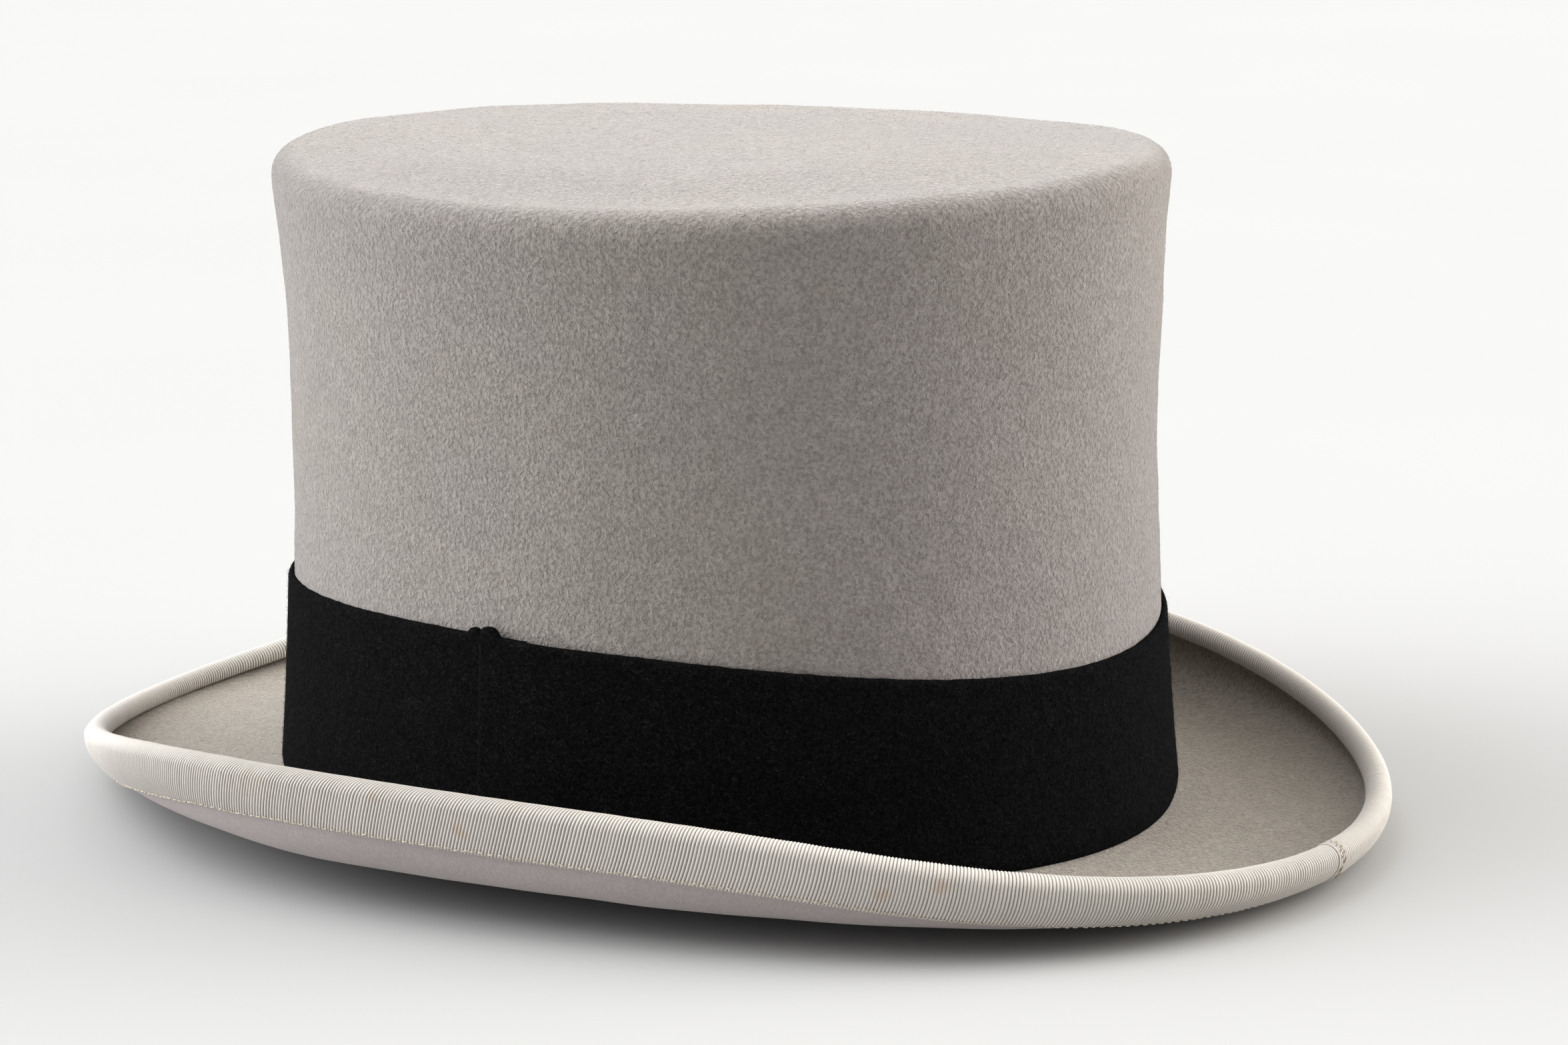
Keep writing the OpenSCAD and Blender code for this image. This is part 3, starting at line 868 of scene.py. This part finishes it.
def band_tacks():
    """Small thread tacks by the lapped edge of the band."""
    t = np.linspace(-0.5, 0.5, 7)
    paths = []
    for up in TACKS_UP:
        a = SEAM_AT + 0.7 + t * TACK_LONG
        z = foot_z(a) + HALF_FELT + up + 0.25 * t
        top = HALF_FELT + BAND_GAP + LAP_GAP + 2 * BAND
        paths.append(layer_pt(a, z, top + 0.1 * (1 - (2 * t) ** 2)))
    pts, quads = tubes(np.array(paths), TACK_R)
    obj = build("band_tack_thread", pts, quads,
                thread_material("black_thread", (0.003, 0.003, 0.0033),
                                (0.006, 0.006, 0.0065), 0.02))
    return dressed(obj, "band_thread", "band_tacks")


def fur(name, grid, count, lengths, lie, width, material, seed, slot, keep=None):
    """Short single fibres that stand off a grid of points, as fine tapering blades."""
    r = rng(seed)
    p00, p10 = grid[:-1, :-1], grid[1:, :-1]
    p01, p11 = grid[:-1, 1:], grid[1:, 1:]
    normal = np.cross(p11 - p00, p01 - p10)
    area = np.linalg.norm(normal, axis=-1).ravel()
    if keep is not None:
        area = area * keep.ravel()
    pick = r.choice(len(area), size=count, p=area / area.sum())
    f = r.uniform(size=(count, 1))
    g = r.uniform(size=(count, 1))
    flat = lambda q: q.reshape(-1, 3)[pick]
    base = mix(mix(flat(p00), flat(p10), f), mix(flat(p01), flat(p11), f), g)
    out = unit(flat(normal))
    side = unit(np.cross(out, r.normal(size=(count, 3))))
    turn = np.cross(out, side)
    size = r.uniform(*lengths, (count, 1)) * r.uniform(0.4, 1.0, (count, 1))
    tilt = r.uniform(*lie, (count, 1))
    bend = r.normal(0, 0.7, (count, 1))
    steps = 4
    points = [base - 0.05 * out]
    heading = side * np.cos(tilt) + out * np.sin(tilt)
    for i in range(1, steps):
        points.append(points[-1] + heading * size / (steps - 1))
        heading = unit(heading + turn * bend * 0.6 - out * 0.35)
    line = np.stack(points, 1)
    thick = width * np.array([1.0, 0.9, 0.7, 0.25])[:, None]
    blade = unit(np.cross(line[:, -1] - line[:, 0], r.normal(size=(count, 3))))[:, None]
    pts = np.stack([line - blade * thick, line + blade * thick], 2)
    quads = ring_quads(steps, 2, close_rows=False)
    quads = (quads[None] + (np.arange(count) * steps * 2)[:, None, None]).reshape(-1, 4)
    obj = build(name, pts.reshape(-1, 3), quads, material)
    return dressed(obj, slot)


def sweat_back(t):
    """How far inside the middle of the felt the leather's back lies, from bottom to top."""
    return HALF_FELT + LEATHER_BACK + LEATHER_EASES * smooth((t - 0.4) / 0.6)


def sweatband():
    """Leather band with a soft rolled-over top edge."""
    n = 480
    a = np.arange(n) * 360.0 / n
    bottom = foot_z(a) + LEATHER_UP
    height = LEATHER_H + wave(a, 0.3, 2, 9, 51)
    ts = np.linspace(0, 1, 24)

    def ripple(t):
        return wave(a, 0.22, 3, 14, 52) * float(smooth(t / 0.4))

    face = [layer_pt(a, bottom + height * t, -sweat_back(t) - LEATHER + ripple(t)) for t in ts]
    rim = [layer_pt(a, bottom + height + 0.3, -sweat_back(1.0) - LEATHER / 2 + ripple(1.0))]
    rear = [layer_pt(a, bottom + height * t, -sweat_back(t) + ripple(t)) for t in ts[::-1]]
    grid = np.stack(face + rim + rear, 1)
    obj = build("leather_sweatband", grid.reshape(-1, 3),
                ring_quads(n, grid.shape[1], close_cols=True), leather_material())
    return dressed(obj, "sweat_leather", "sweatband")


def cloth_material(name, colours, rough, sheen, specular, weave_scale, detail, stretch):
    """Woven cloth of two close colours."""
    m = Nodes(name, rough=rough, sheen=sheen, specular=specular)
    weave = m.noise(weave_scale, detail, 0.5, 0, m.stretch(stretch))
    return m.finish(m.blend(m.ramp(weave, 0.3, 0.7), *colours), m.bump(weave, 0.05 * MM))


def reed():
    """Cloth-covered reed under the sweatband."""
    n = 900
    a = np.arange(n) * 360.0 / n
    turn = np.arange(0, 360, 30)
    twist = 1 + 0.05 * np.cos(np.radians(a * 180)[:, None] + np.radians(turn) * 2)
    rows = []
    for i, t in enumerate(turn):
        up = foot_z(a) + REED_UP + REED_R * sin(t) * twist[:, i]
        off = -HALF_FELT - REED_GAP - REED_R - REED_R * cos(t) * twist[:, i]
        rows.append(layer_pt(a, up, off))
    cloth = cloth_material("reed_cloth", ((0.11, 0.06, 0.035), (0.17, 0.10, 0.06)), 0.8, 0.2, 0.3,
                           2400, 2, (1.0, 1.0, 1.0))
    obj = build("sweatband_reed_cover", np.stack(rows, 1).reshape(-1, 3),
                ring_quads(n, len(turn), close_cols=True), cloth)
    return dressed(obj, "reed_cover", "sweatband_reed")


def sweat_stitches():
    """Stitches through the leather above the reed."""
    t = np.linspace(-0.5, 0.5, 7)
    a = (np.arange(SWEAT_STITCHES) * 360.0 / SWEAT_STITCHES)[:, None] + t * SWEAT_STITCH_LONG
    off = -HALF_FELT - LEATHER_BACK - LEATHER - 0.05 - 0.14 * (1 - (2 * t) ** 4)
    paths = layer_pt(a, foot_z(a) + SWEAT_STITCH_UP, off + 0 * a)
    pts, quads = tubes(paths, SWEAT_STITCH_R)
    obj = build("sweatband_thread", pts, quads,
                thread_material("tan_thread", (0.5, 0.4, 0.26), (0.36, 0.28, 0.18)))
    return dressed(obj, "sweat_thread", "sweatband_stitches")


def bow():
    """Flat ribbon bow over the sweatband's seam at the back."""
    n, k = 97, 16
    i = np.linspace(-1, 1, n)
    a = BOW_AT + i * BOW_HALF
    knot = np.exp(-(i / 0.14) ** 4)
    fat = mix(0.6 + 1.5 * np.sin(math.pi * np.abs(i)), 1.7 + 0 * i, knot)
    tall = mix(1.6 + 3.4 * np.abs(i) ** 0.7, 2.3 + 0 * i, knot)
    rows = []
    for t in np.arange(k) * 360.0 / k:
        pleat = 1 + 0.10 * np.cos(np.radians(3 * t)) * (1 - knot)
        z = foot_z(a) + BOW_UP + tall * sin(t)
        rows.append(layer_pt(a, z, -HALF_FELT - BOW_BACK - fat / 2 * (1 + cos(t) * pleat)))
    quads = ring_quads(n, k, close_rows=False, close_cols=True)
    fan = np.array([[0, j, j + 1, j + 2] for j in range(1, k - 2, 2)])
    cloth = cloth_material("bow_ribbon_brown", ((0.05, 0.03, 0.022), (0.09, 0.055, 0.04)), 0.5, 0.3,
                           0.4, 1800, 1, (0.2, 1.0, 1.0))
    obj = build("ribbon_bow", np.stack(rows, 1).reshape(-1, 3),
                np.concatenate([quads, fan, fan[:, ::-1] + (n - 1) * k]), cloth)
    return dressed(obj, "bow_ribbon", "sweatband_bow")


def lining(satin):
    """Satin round the inside of the crown, gathered a little towards the tip."""
    n = 900
    a = np.arange(n) * 360.0 / n
    rows_out, rows_in = [], []
    top = HAT_TOP - HALF_FELT - TIP_SIDE_DROP - LINING_BELOW_TIP
    levels = np.concatenate([np.linspace(0, 0.86, 20), np.linspace(0.88, 1, 14)])
    for t in levels:
        z = mix(foot_z(a) + LINING_UP, top - 0.6 + 0 * a, t)
        gather = float(smooth((t - 0.75) / 0.25))
        pleat = PLEAT * gather * (1 + np.cos(np.radians(a * PLEATS + 40 * sin(3 * a)))) / 2
        billow = BILLOW * (1 + wave(a, 0.7, 2, 11, 61)) * math.sin(math.pi * min(1, t * 1.1))
        shoulder = LINING_SHOULDER * float(smooth((t - 0.88) / 0.12)) ** 1.4
        inward = HALF_FELT + 0.3 + shoulder + pleat + np.clip(billow, 0, BILLOW_MOST)
        rows_out.append(layer_pt(a, z, -inward - SATIN))
        rows_in.append(layer_pt(a, z, -inward))
    grid = np.stack(rows_out + rows_in[::-1], 1)
    obj = build("satin_side_lining", grid.reshape(-1, 3),
                ring_quads(n, grid.shape[1], close_cols=True), satin)
    dressed(obj, "satin", "lining_side")
    path_length(grid[0, :len(levels)])
    path_length(grid[:, 0])


def tip_lining(satin):
    """Satin oval under the tip, a little slack."""
    n, m = 144, 24
    a = np.arange(n) * 360.0 / n
    z = (TIP_LINING_LOW.z + TIP_LINING_HIGH.z) / 2 / MM
    half = (TIP_LINING_HIGH.y - TIP_LINING_LOW.y) / 2 / MM
    ks = np.linspace(0.02, 1, m)
    rows = []
    for side in (1, -1):
        for k in ks[::side]:
            slack = lumps(xyz(k * 60 * cos(a), k * 80 * sin(a), 0 * a), 40.0, 62)
            sag = TIP_SAG * (1 - k * k) + 0.25 * slack * (1 - k ** 6)
            x = (half - OVAL_DIFF / 2) * k * cos(a)
            y = half * k * sin(a) + CROWN_BACK + LEAN
            rows.append(xyz(x, y, z + SATIN / 2 * side - np.clip(sag, 0, 2)))
    grid = np.stack(rows, 1)
    faces = [ring_quads(n, 2 * m)] + pole_caps(n, 2 * m, n * 2 * m)
    obj = build("satin_tip_lining", with_poles(grid), np.concatenate(faces), satin)
    dressed(obj, "satin", "lining_tip")


hood, hood_grid, hood_stations = felt_body()
binding, binding_cut = ribbon()
stitch_rows()
join_rows()
band_obj, band_grid = band()
sweatband()
reed()
sweat_stitches()
bow()
SATIN_CLOTH = satin_material()
lining(SATIN_CLOTH)
tip_lining(SATIN_CLOTH)

FUR_SHARE = 1.0
closed = np.concatenate([hood_grid, hood_grid[:1]])
# No fibres under the ribbon
bare = np.ones((closed.shape[0] - 1, closed.shape[1] - 1))
bare[:, hood_stations[1:] > 4.97] = 0
fur("hood_nap", closed, int(GREY_FIBRES * FUR_SHARE), (0.6, 1.6), (0.1, 0.8), 0.03,
    GREY_FIBRE, 71, "fur_felt", bare)
band_nap = fur("band_nap", band_grid, int(BLACK_FIBRES * FUR_SHARE), (0.4, 1.5), (0.1, 1.1), 0.02,
               BLACK_FIBRE, 72, "band_felt")
path_length(band_grid[0])
path_length(band_grid[:, 0])
band_tacks()


# ---- floor, light and camera ----
FLOOR_RADIUS = 9000.0
AZIMUTH = 119.95
ELEVATION = 13.44
ROLL = -1.526
DISTANCE = 0.812
AIM = Vector((-0.0074, 0.0159, 0.0608))
LENS = 84.37
COOL = (0.985, 1.0, 1.02)
WARM = (1.025, 1.0, 0.965)
# Soft lights round the hat: turn from the camera and height in degrees, tightness, strength, tint
LIGHTS = ((-97, 22, 10, 6.2, COOL), (-90, 58, 10, 4.8, COOL), (-90, 8, 20, 2.9, COOL),
          (98, 22, 10, 4.4, WARM), (90, 58, 10, 2.1, WARM), (88, 8, 25, 6.0, WARM),
          (105, 18, 30, 4.0, WARM), (135, 20, 10, 0.8, WARM), (180, 20, 10, 1.2, COOL))
BACKDROP = 0.90


def floor():
    """A wide plain floor."""
    n = 96
    a = np.arange(n) * 360.0 / n
    rings = np.concatenate([[0.0], np.geomspace(60.0, FLOOR_RADIUS, 40)])
    grid = np.stack([xyz(r * cos(a), r * sin(a), 0 * a) for r in rings], 1)
    mat = Nodes("pale_floor", rough=0.7, specular=0.1)
    tone = mat.blend(mat.ramp(mat.noise(6, 2), 0.3, 0.7), (0.436, 0.434, 0.428), (0.441, 0.439, 0.433))
    obj = build("floor", grid.reshape(-1, 3), ring_quads(n, len(rings)), mat.finish(tone))


def toward(azimuth, elevation):
    """Unit direction from the hat towards a viewer or light."""
    az, el = math.radians(azimuth), math.radians(elevation)
    return Vector((math.sin(az) * math.cos(el), -math.cos(az) * math.cos(el), math.sin(el)))


def studio():
    """Soft lights as bright patches of sky, with a plain pale backdrop."""
    world = bpy.data.worlds.new("studio")
    world.use_nodes = True
    tree = world.node_tree
    link = tree.links.new
    direction = tree.nodes.new("ShaderNodeTexCoord").outputs["Generated"]
    total = None
    for turn, up, tight, strength, colour in LIGHTS:
        dot = tree.nodes.new("ShaderNodeVectorMath")
        dot.operation = "DOT_PRODUCT"
        link(direction, dot.inputs[0])
        dot.inputs[1].default_value = toward(AZIMUTH + turn, up)
        power = tree.nodes.new("ShaderNodeMath")
        power.operation = "MULTIPLY_ADD"
        link(dot.outputs["Value"], power.inputs[0])
        power.inputs[1].default_value = tight
        power.inputs[2].default_value = -tight
        lobe = tree.nodes.new("ShaderNodeMath")
        lobe.operation = "EXPONENT"
        link(power.outputs[0], lobe.inputs[0])
        add = tree.nodes.new("ShaderNodeVectorMath")
        add.operation = "MULTIPLY_ADD"
        link(lobe.outputs[0], add.inputs[0])
        add.inputs[1].default_value = [strength * c for c in colour]
        if total:
            link(total, add.inputs[2])
        else:
            add.inputs[2].default_value = (0, 0, 0)
        total = add.outputs[0]
    light = tree.nodes["Background"]
    link(total, light.inputs["Color"])
    plain = tree.nodes.new("ShaderNodeBackground")
    plain.inputs["Color"].default_value = (1, 0.995, 0.985, 1)
    plain.inputs["Strength"].default_value = BACKDROP
    choose = tree.nodes.new("ShaderNodeMixShader")
    link(tree.nodes.new("ShaderNodeLightPath").outputs["Is Camera Ray"], choose.inputs[0])
    link(light.outputs[0], choose.inputs[1])
    link(plain.outputs[0], choose.inputs[2])
    link(choose.outputs[0], tree.nodes["World Output"].inputs["Surface"])
    bpy.context.scene.world = world


def camera():
    """The photo's viewing angle, with a slight roll."""
    data = bpy.data.cameras.new("camera")
    data.lens = LENS
    data.sensor_width = 36
    data.clip_end = 40
    obj = bpy.data.objects.new("camera", data)
    back = toward(AZIMUTH, ELEVATION)
    right = (-back).cross(Vector((0, 0, 1))).normalized()
    up = right.cross(-back)
    turn = math.radians(ROLL)
    r = right * math.cos(turn) + up * math.sin(turn)
    u = up * math.cos(turn) - right * math.sin(turn)
    m = Matrix((r, u, back)).transposed().to_4x4()
    m.translation = AIM + back * DISTANCE
    obj.matrix_world = m
    bpy.context.scene.collection.objects.link(obj)
    bpy.context.scene.camera = obj


floor()
studio()
camera()
bpy.context.scene.view_settings.view_transform = "Standard"
